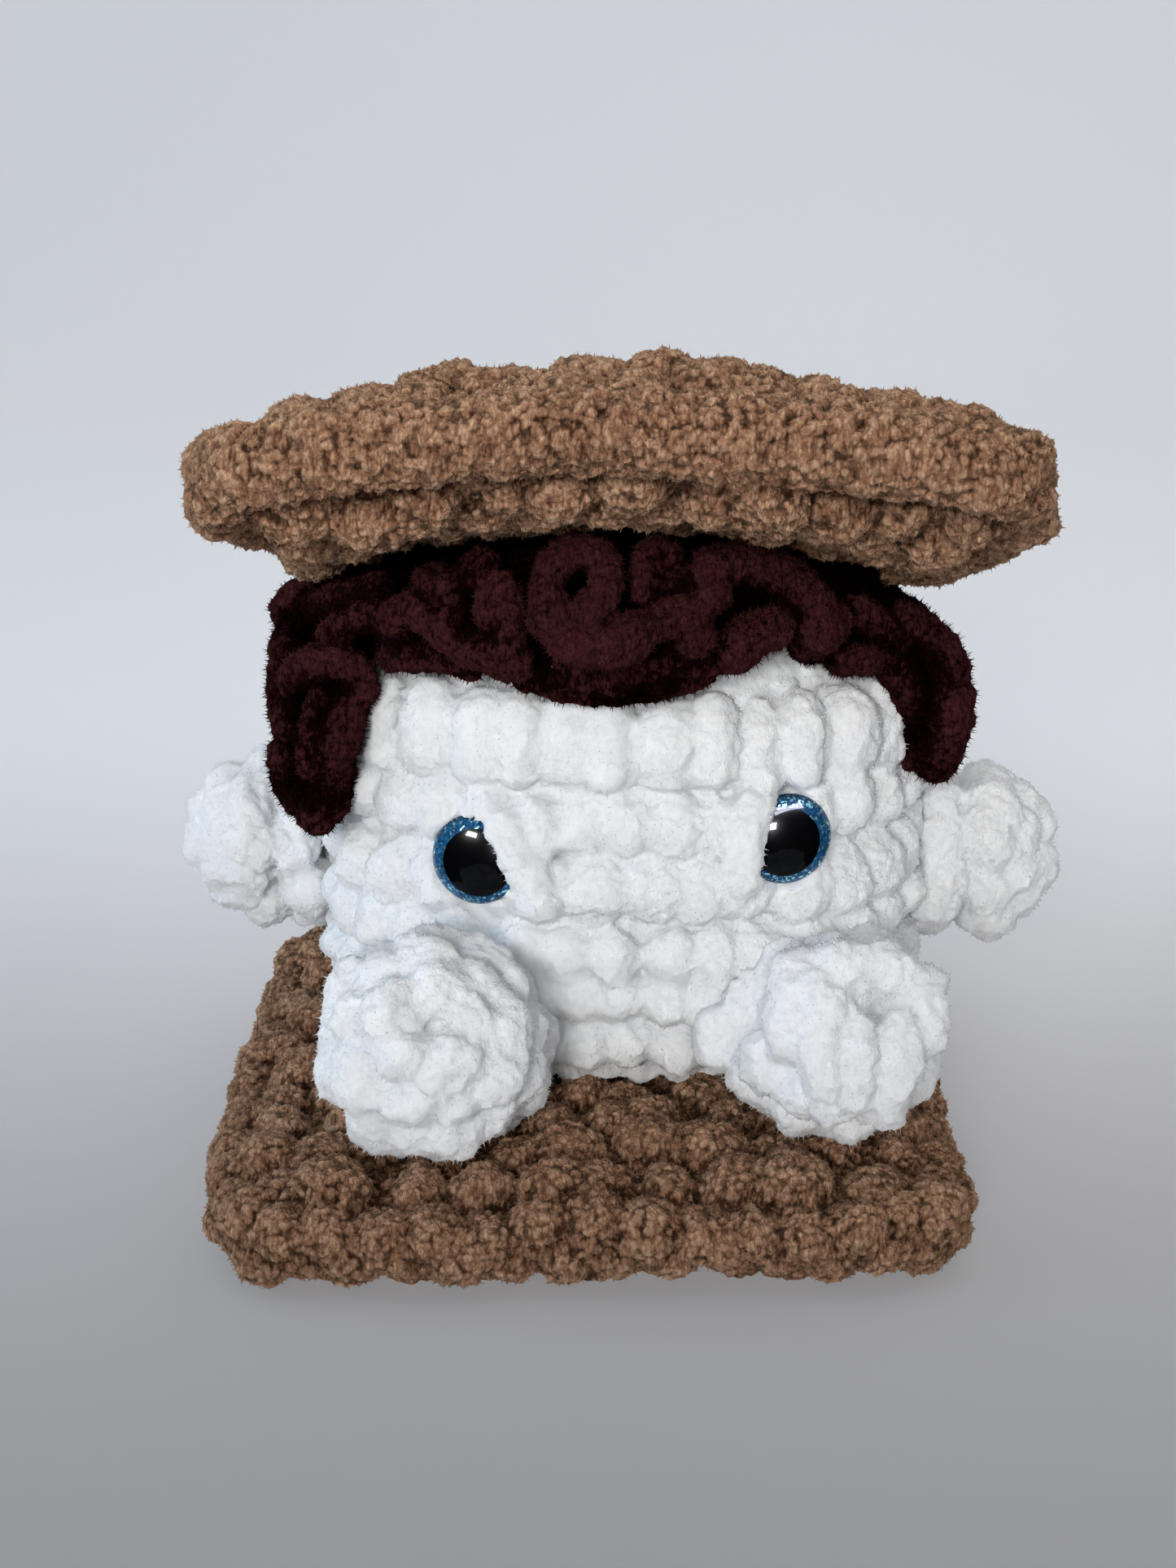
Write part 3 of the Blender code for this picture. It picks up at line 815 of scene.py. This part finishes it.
def lid_puffs(name):
    """The wool that closes over the inner side of a button."""
    middle, turn = eye_place(name)
    puffs = []
    for height in (8.5 * MM, 3.0 * MM, -2.5 * MM, -8.0 * MM):
        across = lid_edge(name, height) + 4.6 * MM
        place = middle + turn @ Vector((across * inwards_of(name), height, 1.4 * MM))
        add_puff(puffs, place, turn @ UP, turn @ Vector((0.0, 1.0, 0.0)), (5.8 * MM, 5.0 * MM, 5.2 * MM))
    return puffs


def open_wool(obj, name):
    """Presses the skin back where a button shows."""
    middle, turn = eye_place(name)
    local = eye_view(places_of(obj), name)
    inner = local[:, 0] * inwards_of(name)
    reach = np.hypot(local[:, 0], local[:, 1])
    shown = (reach < 10.9 * MM) & (inner < lid_edge(name, local[:, 1]))
    shown &= (local[:, 2] > -2.5 * MM) & (local[:, 2] < 30 * MM)
    local[shown, 2] = -2.0 * MM
    put_places(obj, local @ np.array(turn).T + np.array(middle))


for name in EYE_TURN:
    body_puffs += lid_puffs(name)
body = joined_skin("marshmallow_body_yarn", core_of("marshmallow_body", 5.8 * MM), body_puffs, 1.1 * MM, 2)
ruffle(body, 1.4 * MM, 7 * MM, 0.45 * MM, 2.3 * MM, 45)
for name in EYE_TURN:
    open_wool(body, name)
dress(body, "marshmallow_yarn", ["marshmallow_body"])


def clear_of_eyes(places):
    """1 where pile may grow: on the sides of the body, and not under a button."""
    keep = ((places[:, 2] < 135 * MM) & (places[:, 2] > 27 * MM)).astype(np.float32)
    for name in EYE_TURN:
        local = eye_view(places, name)
        under = np.hypot(local[:, 0], local[:, 1]) < EYE_RADIUS
        keep[under & (local[:, 2] < 0.6 * MM) & (local[:, 2] > -6 * MM)] = 0
    return keep


dress(grow_pile(body, "marshmallow_body_pile", "marshmallow_yarn", 21, clear_of_eyes(places_of(body))),
      "marshmallow_yarn")

# %% [markdown]
# The button itself is a sphere squashed to a low dome, with the painted ring and pupil under a clear
# coat. Two attributes tell the material how far a point lies from the middle of the ring and of the
# pupil, so both stay round whatever the mesh does.

# %% Eye buttons


def eye_finish():
    material, tree, shader = new_material("glitter eye plastic")
    place = add_node(tree, "ShaderNodeTexCoord").outputs["Object"]
    reach, pupil = (stored_number(tree, key) for key in ("reach", "pupil"))
    flakes = add_node(tree, "ShaderNodeTexVoronoi", {"Vector": place, "Scale": 1 / (0.55 * MM)})
    bright = add_node(tree, "ShaderNodeSeparateColor", {"Color": flakes.outputs["Color"]}).outputs[0]
    spark = limits(tree, bright, 0.80, 0.90)
    inside = limits(tree, pupil, 0.745, 0.765)
    colour = mixed(tree, bright, (0.004, 0.035, 0.11, 1.0), (0.02, 0.15, 0.33, 1.0))
    colour = mixed(tree, spark, colour, (0.45, 0.95, 1.0, 1.0))
    # The rim of the ring is darker, and the pupil is all but black
    colour = mixed(tree, limits(tree, reach, 0.90, 0.99), colour, (0.004, 0.03, 0.08, 1.0))
    colour = mixed(tree, inside, (0.0015, 0.0015, 0.002, 1.0), colour)
    tree.links.new(colour, shader.inputs["Base Color"])
    tree.links.new(calculate(tree, "MULTIPLY", spark, inside), shader.inputs["Metallic"])
    shader.inputs["Roughness"].default_value = 0.25
    shader.inputs["Specular IOR Level"].default_value = 0.05
    shader.inputs["Coat Weight"].default_value = 1.0
    shader.inputs["Coat Roughness"].default_value = 0.015
    shader.inputs["Coat IOR"].default_value = 1.22
    return material


EYE_FINISH = eye_finish()
for name in EYE_TURN:
    middle, turn = eye_place(name)
    bm = bmesh.new()
    bmesh.ops.create_uvsphere(bm, u_segments=64, v_segments=48, radius=1.0)
    reach = [v.co.xy.length for v in bm.verts]
    pupil = [(v.co.xy - Vector((0.14 * inwards_of(name), 0.03))).length for v in bm.verts]
    for vert in bm.verts:
        vert.co.z *= EYE_DOME / EYE_RADIUS if vert.co.z >= -1e-6 else EYE_BACK / EYE_RADIUS
    bmesh.ops.transform(bm, matrix=Matrix.Translation(middle) @ turn.to_4x4() @ Matrix.Scale(EYE_RADIUS, 4),
                        verts=bm.verts)
    button = new_object(name + "_button", bm)
    weigh(button, "reach", reach)
    weigh(button, "pupil", pupil)
    button.data.shade_smooth()
    button.data.materials.append(EYE_FINISH)
    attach(button, "root")
    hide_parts(name)

# %% [markdown]
# ## Arms and legs
#
# A limb starts at its tip with a ring of stitches pulled shut, and grows in a spiral. Seen from the
# end, the stitches make rings round a small closed hole. Rays from outside towards the middle of the
# round end find the place of each stitch, first over the end and then back along the limb. The right
# leg shows its end most clearly, so its lobes follow the photograph one by one.

# %% Arms and legs
LIMBS = {
    "leg_left": ((-35.5, -30.0, 31.3), (-30.0, -84.0, 65.0), 26.2),
    "leg_right": ((52.7, -27.0, 36.9), (68.0, -73.5, 65.5), 26.0),
    "arm_left": ((-40.0, 28.0, 68.5), (-104.0, 27.0, 69.0), 22.4),
    "arm_right": ((57.0, 28.0, 67.5), (120.5, 27.0, 68.0), 22.6),
}
# For each ring over the end: its angle from the axis in degrees, how far back it lies in mm, and its stitches
TIP_RINGS = [(25, 0.0, 5), (54, 0.0, 9), (81, 1.0, 13)]
BACK_RINGS = [(90, 14.0 + 13.0 * k, 12) for k in range(4)]

# The right leg shows long lobes gathered under its closed hole. Each one: its place in the photograph, half
# its width and half its length in mm, and how far its length leans from upright, in degrees
LOBES = {
    "leg_right": ((1008, 1296, 5.8, 12.5, -8), (1058, 1316, 4.9, 12.0, 0), (1112, 1312, 5.8, 12.5, 6),
                  (1152, 1262, 5.6, 8.5, 20), (1144, 1206, 6.2, 7.5, 60), (1100, 1180, 6.5, 8.0, 80),
                  (1046, 1180, 6.5, 9.0, 100), (1006, 1218, 6.0, 8.5, 130), (962, 1196, 7.0, 8.5, 150),
                  (958, 1262, 6.2, 9.0, 170), (926, 1312, 7.4, 8.0, 160), (880, 1278, 6.6, 8.0, 170),
                  (972, 1352, 6.4, 6.5, 20), (1022, 1368, 6.0, 6.0, 0), (1090, 1372, 6.0, 6.0, 0)),
}
# Where the last ring is pulled shut: the place in the photograph, and the radius and depth of the pit in mm
PITS = {"leg_left": (517, 1250, 2.0, 2.0), "leg_right": (1079, 1243, 3.0, 7.0)}


def pull_shut(obj, name):
    """Draws the skin in round the middle of a leg's end."""
    column, row, radius, depth = PITS[name]
    way, middle, _ = seen_on(name, column, row)
    places = places_of(obj)
    offsets = places - np.array(middle)
    reach = np.linalg.norm(offsets - np.outer(offsets @ np.array(way), np.array(way)), axis=1)
    near = (reach < radius * MM) & (np.linalg.norm(offsets, axis=1) < 9 * MM)
    places[near] += np.outer((1 - reach[near] / (radius * MM)) * depth * MM, np.array(way))
    put_places(obj, places)


def limb_puffs(name, root, tip, radius):
    chance = random.Random(name)
    tree = TREES[name]
    root, tip, radius = Vector(root) * MM, Vector(tip) * MM, radius * MM
    axis = (tip - root).normalized()
    side = axis.orthogonal().normalized()
    other = axis.cross(side)
    hub = tip - axis * radius * 0.85
    puffs = []
    for column, row, wide, long, lean in LOBES.get(name, ()):
        way, point, normal = seen_on(name, column, row)
        along = upward * math.cos(math.radians(lean)) + rightward * math.sin(math.radians(lean))
        if point is not None:
            add_puff(puffs, point - normal * 4.0 * MM, normal, along, (wide * MM, long * MM, 6.6 * MM))
            continue
        # A lobe beside the leg hangs where the line of sight passes closest to it
        nearest = closest_pass(name, way)
        touched = tree.find_nearest(nearest)[0]
        add_puff(puffs, nearest.lerp(touched, 0.3), -way, along, (wide * MM, long * MM, wide * MM))
    for ring, (polar, back, count) in enumerate(TIP_RINGS + BACK_RINGS):
        if name in LOBES and ring < len(TIP_RINGS):
            continue
        for k in range(count):
            around = 2 * math.pi * (k + 0.5 * (ring % 2) + chance.uniform(-0.14, 0.14)) / count
            angle = math.radians(polar + 9 * (k / count - 0.5) + chance.uniform(-5.0, 5.0))
            spoke = side * math.cos(around) + other * math.sin(around)
            outwards = axis * math.cos(angle) + spoke * math.sin(angle)
            centre = hub - axis * back * MM
            point, normal = tree.ray_cast(centre + outwards * 0.08, -outwards)[:2]
            if point is None or (point - centre).length > radius * 1.6:
                continue
            size = chance.uniform(0.80, 1.20)
            along = Matrix.Rotation(chance.uniform(-0.6, 0.6), 3, normal) @ axis.cross(spoke)
            add_puff(puffs, point - normal * (4.0 + chance.uniform(-1.2, 1.2)) * MM, normal, along,
                     (6.2 * MM * size, 8.2 * MM * size, 6.6 * MM * size))
    return puffs


for name, (root, tip, radius) in LIMBS.items():
    puffs = limb_puffs(name, root, tip, radius)
    limb = joined_skin(name + "_yarn", core_of(name, 6.2 * MM), puffs, 1.0 * MM, 2)
    ruffle(limb, 1.8 * MM, 5.5 * MM, 0.42 * MM, 2.3 * MM, 45)
    if name in PITS:
        pull_shut(limb, name)
    dress(limb, "marshmallow_yarn", [name])
    dress(grow_pile(limb, name + "_pile", "marshmallow_yarn", 31), "marshmallow_yarn")

# %% [markdown]
# ## Chocolate
#
# The chocolate is dark chenille with a deeper pile, laid in loose loops. Two kinds of puff make it.
# Stitches cover the cap and its hanging drips all round. On the front, long strands lie over them: a
# curl in the middle, with loops to either side. A strand is a row of overlapping balls along a smooth
# path, and each path is given by where it shows in the photograph. Between the strands lies deep
# shade, so how far a point stands off the cap counts towards its colour too, as painted shade.

# %% Chocolate
CAP_ROUNDS, CAP_STITCHES = 9, 34
# The height of the cap's top round, and how far apart the rounds lie, in mm
CAP_TOP, CAP_PITCH = 146, 11.5
# Each strand: half its thickness, how far its middle stands off the cap, and places in the photograph
STRANDS = (
    (4.9, 10.5, ((724, 748), (742, 728), (744, 700), (728, 680), (702, 678), (680, 696), (672, 728),
                 (676, 758))),
    (6.0, 11.0, ((676, 762), (700, 784), (736, 794), (766, 790), (782, 776))),
    (4.4, 4.5, ((626, 784), (626, 745), (616, 718), (604, 722), (600, 755))),
    (4.4, 2.5, ((572, 714), (580, 696), (596, 694), (600, 712))),
    (4.6, 4.0, ((524, 735), (526, 716), (540, 712), (552, 728), (556, 752))),
    (5.2, 6.0, ((490, 785), (490, 760), (504, 750), (526, 756), (546, 774), (568, 792), (600, 806),
                (632, 814))),
    (5.0, 1.0, ((350, 750), (366, 732), (392, 718), (424, 708))),
    (5.2, -1.0, ((394, 748), (426, 735), (464, 724))),
    (4.6, 2.5, ((484, 806), (508, 806), (540, 808), (576, 816))),
    (4.4, 4.0, ((792, 724), (790, 694), (804, 678), (820, 684), (828, 708))),
    (5.8, 6.5, ((874, 728), (872, 706), (888, 694), (922, 692), (956, 702), (984, 722), (1000, 746))),
    (5.2, 7.5, ((812, 764), (834, 754), (854, 764), (856, 784))),
    (6.0, 7.0, ((906, 802), (920, 782), (946, 772))),
    (6.0, 5.0, ((936, 806), (966, 798), (1000, 784), (1018, 766))),
    (4.6, 2.5, ((1000, 806), (1040, 810), (1076, 808), (1096, 796))),
    (5.0, 1.5, ((1052, 752), (1080, 768), (1100, 788))),
    (3.6, 3.5, ((588, 794), (612, 808), (645, 826), (690, 839), (735, 843), (790, 840), (830, 832),
                (868, 818), (905, 806))),
    (4.6, 1.5, ((700, 818), (760, 824), (806, 818), (846, 806))),
    (3.0, 0.8, ((640, 836), (690, 852), (735, 857), (790, 854), (835, 845), (870, 832))),
    (5.8, 3.0, ((1108, 762), (1148, 790), (1168, 828), (1172, 868), (1162, 912), (1148, 938))),
    (5.4, 2.0, ((1086, 800), (1110, 838), (1122, 880), (1126, 925))),
    (5.6, 3.0, ((385, 748), (362, 778), (354, 812), (352, 850), (356, 886))),
    (5.2, 2.5, ((350, 925), (357, 962), (374, 988), (390, 1006))),
    (5.0, 4.0, ((362, 836), (376, 818), (408, 812), (436, 820), (446, 846))),
    (5.6, 5.0, ((436, 848), (426, 884), (416, 924), (411, 960), (406, 990))),
    (4.4, 1.5, ((394, 862), (384, 902), (384, 942))),
    (4.8, 3.5, ((408, 778), (436, 762), (462, 756))),
)


def smooth_path(points, step):
    """Places along a smooth curve through the points, about step apart."""
    ends = [points[0] * 2 - points[1], *points, points[-1] * 2 - points[-2]]
    path = []
    for a, b, c, d in zip(ends, ends[1:], ends[2:], ends[3:]):
        pieces = max(1, round((c - b).length / step))
        for k in range(pieces):
            t = k / pieces
            path.append(0.5 * (2 * b + (c - a) * t + (2 * a - 5 * b + 4 * c - d) * t ** 2
                               + (3 * b - a - 3 * c + d) * t ** 3))
    return path + [points[-1]]


def cap_stitches():
    """Stitches all round the cap. They lie low on the front, under the strands."""
    chance = random.Random("chocolate")
    tree = TREES["chocolate_top"]
    puffs = []
    for ring in range(CAP_ROUNDS):
        for k in range(CAP_STITCHES):
            angle = 2 * math.pi * (k + 0.5 * (ring % 2) + chance.uniform(-0.15, 0.15)) / CAP_STITCHES
            outwards = Vector((math.cos(angle), math.sin(angle), 0.0))
            height = CAP_TOP - CAP_PITCH * ring + chance.uniform(-1.5, 1.5)
            start = BODY_AXIS + outwards * 0.2 + UP * height * MM
            point, normal = tree.ray_cast(start, -outwards)[:2]
            if point is None or (point - start).length > 0.165 or normal.dot(outwards) < 0.1:
                continue
            side = Vector((-outwards.y, outwards.x, 0.0))
            along = UP + side * chance.uniform(-0.7, 0.7)
            size = chance.uniform(0.85, 1.15)
            depth = 10.0 if outwards.y < -0.2 else 3.6
            add_puff(puffs, point - normal * depth * MM, normal, along,
                     (5.6 * MM * size, 8.0 * MM * size, 5.6 * MM * size))
    return puffs


def strand_puffs():
    """Balls along the strands that show in front."""
    chance = random.Random("strands")
    puffs = []
    for half, stand, places in STRANDS:
        points = []
        for column, row in places:
            way, point, _ = seen_on("chocolate_top", column, row)
            off = (stand + 0.8) * MM
            if point is None:
                # Beside the cap: level with its nearest part, but in front of the body
                point, off = closest_pass("chocolate_top", way), 0.0
                behind = seen_on("marshmallow_body", column, row)[1]
                if behind is not None and (behind - EYE_POINT).length < (point - EYE_POINT).length + 8 * MM:
                    point, off = behind, 8 * MM
            points.append(point - way * off)
        for point in smooth_path(points, half * 0.4 * MM):
            around = (chance.uniform(0.94, 1.06) * half - 0.8) * MM
            add_puff(puffs, point, -ahead, upward, (around,) * 3)
    return puffs


# Where a point's height over the stuffed form counts as neither high nor deep, and the height's share,
# for the painted shade of the hollows and the painted light of the crowns
LEVEL_HEIGHT, HOLLOW_SHADE_SHARE = 6.0 * MM, 0.42


def paint_hollow_shade(obj, node):
    """Paints shade into the hollows and light onto the crowns: a point that stands off the stuffed form
    counts as higher, and one sunk below it as deeper.
    """
    places = places_of(obj)
    rise = np.empty(len(places), np.float32)
    obj.data.attributes["rise"].data.foreach_get("value", rise)
    tree = TREES[node]
    for index, place in enumerate(places.tolist()):
        near, normal = tree.find_nearest(place)[:2]
        rise[index] += HOLLOW_SHADE_SHARE * ((Vector(place) - near).dot(normal) - LEVEL_HEIGHT)
    obj.data.attributes["rise"].data.foreach_set("value", rise)


puffs = cap_stitches() + strand_puffs()
chocolate = joined_skin("chocolate_top_yarn", core_of("chocolate_top", 6.0 * MM), puffs, 1.05 * MM, 1)
ruffle(chocolate, 0.6 * MM, 4 * MM, 0.55 * MM, 2.0 * MM, 100)
# Painted shade between the strands, and painted light on their crowns
paint_hollow_shade(chocolate, "chocolate_top")
dress(chocolate, "chocolate_yarn", ["chocolate_top"])
in_front = places_of(chocolate)[:, 1] < 2 * MM
dress_pile_halves(chocolate, "chocolate_top", "chocolate_yarn", 41, in_front, np.ones(len(in_front), bool))

# %% [markdown]
# ## Table and light
#
# The toy stands on a sheet of pale paper that curves up behind it, so no edge shows. Its colour is
# darker towards the camera, which is painted shade, and it glows a little, which is painted light, so
# the lamps need not wash out the toy to light it. A pale sky lights the toy from all round, and three
# soft lamps give it shape: one overhead, a narrow one in front, and a cool one at the left. None of
# these shows in gloss, so the pupils stay black. Three windows show in gloss alone, and make the
# glints in the eyes.

# %% Table
# In metres. The sheet lies flat to SHEET_FLAT behind the toy, and then turns up
SHEET_LENGTH, SHEET_WIDTH, SHEET_IN_FRONT, SHEET_FLAT, SHEET_BEND = 5.2, 8.0, 2.0, 1.2, 0.7

bm = bmesh.new()
bmesh.ops.create_grid(bm, x_segments=2, y_segments=80, size=1.0)
for vert in bm.verts:
    length = (vert.co.y + 1) * SHEET_LENGTH / 2 - SHEET_IN_FRONT
    bend = min(max(length - SHEET_FLAT, 0.0) / SHEET_BEND, math.pi / 2)
    flat, rest = min(length, SHEET_FLAT), max(length - SHEET_FLAT - SHEET_BEND * math.pi / 2, 0.0)
    vert.co = Vector((vert.co.x * SHEET_WIDTH / 2, flat + SHEET_BEND * math.sin(bend),
                      SHEET_BEND * (1 - math.cos(bend)) + rest))
sheet = new_object("table_sheet", bm)
sheet.data.shade_smooth()
paper, paper_tree, paper_shader = new_material("pale paper with painted shade and glow")
paper_shader.inputs["Roughness"].default_value = 0.9
paper_shader.inputs["Specular IOR Level"].default_value = 0.0
on_paper = add_node(paper_tree, "ShaderNodeTexCoord").outputs["Object"]
split = add_node(paper_tree, "ShaderNodeSeparateXYZ", {0: on_paper})
# Painted shade: the paper's colour, and with it its glow, is darker towards the camera
painted_falloff = limits(paper_tree, split.outputs["Y"], -0.28, 0.40, "SMOOTHSTEP")
falloff_shade_and_glow = mixed(paper_tree, painted_falloff, (0.25, 0.245, 0.25, 1.0), (0.59, 0.60, 0.62, 1.0))
for socket in ("Base Color", "Emission Color"):
    paper_tree.links.new(falloff_shade_and_glow, paper_shader.inputs[socket])
# Painted light: the paper glows in its own colour, though it is no lamp
paper_shader.inputs["Emission Strength"].default_value = 0.55
sheet.data.materials.append(paper)
sheet.visible_glossy = False

# %% Light
world = bpy.data.worlds.new("pale room")
world.use_nodes = True
world.node_tree.nodes["Background"].inputs["Color"].default_value = (0.93, 0.95, 1.0, 1.0)
world.node_tree.nodes["Background"].inputs["Strength"].default_value = 0.30
world.cycles_visibility.glossy = False
bpy.context.scene.world = world
bpy.context.scene.view_settings.view_transform = "Standard"
LIT_PLACE = Vector((0.01, -0.03, 0.20))


def add_lamp(name, at, wide, high, watts, colour, spread=180, in_gloss=False):
    """A soft lamp that shows either in gloss alone, as a glint, or in everything but gloss."""
    lamp = bpy.data.objects.new(name, bpy.data.lights.new(name, "AREA"))
    lamp.data.shape = "RECTANGLE"
    lamp.data.size, lamp.data.size_y = wide, high
    lamp.data.energy = watts
    lamp.data.color = colour
    lamp.location = at
    lamp.rotation_euler = (LIT_PLACE - Vector(at)).to_track_quat("-Z", "Y").to_euler()
    lamp.data.spread = math.radians(spread)
    lamp.visible_glossy = in_gloss
    lamp.visible_diffuse = not in_gloss
    bpy.context.scene.collection.objects.link(lamp)


add_lamp("ceiling", (0.3, 0.1, 1.6), 1.6, 1.4, 5.0, (1.0, 0.98, 0.95))
add_lamp("front", (-0.14, -1.02, 0.47), 0.4, 0.3, 0.44, (1.0, 0.99, 0.97), spread=36)
add_lamp("left_fill", (-1.4, -0.2, 0.8), 1.2, 1.2, 8.0, (0.50, 0.74, 1.0))
add_lamp("sky_window", (0.33, -0.42, 0.755), 0.8, 0.45, 70.0, (0.80, 0.80, 1.0), in_gloss=True)
add_lamp("left_window", (-0.46, -0.59, 0.485), 0.24, 0.15, 14.0, (1.0, 1.0, 1.0), in_gloss=True)
add_lamp("front_window", (0.10, -0.82, 0.284), 0.20, 0.16, 14.0, (0.92, 0.92, 1.0), in_gloss=True)

# %% [markdown]
# ## Finish
#
# The dressed toy may stand a little proud of the imported solids, as wool does. The helper shapes
# are removed.

# %% Finish
for helper in (PUFF_BALL, *FORMS.values(), *(fibre for fibre, _, _ in PILES.values())):
    bpy.data.objects.remove(helper)
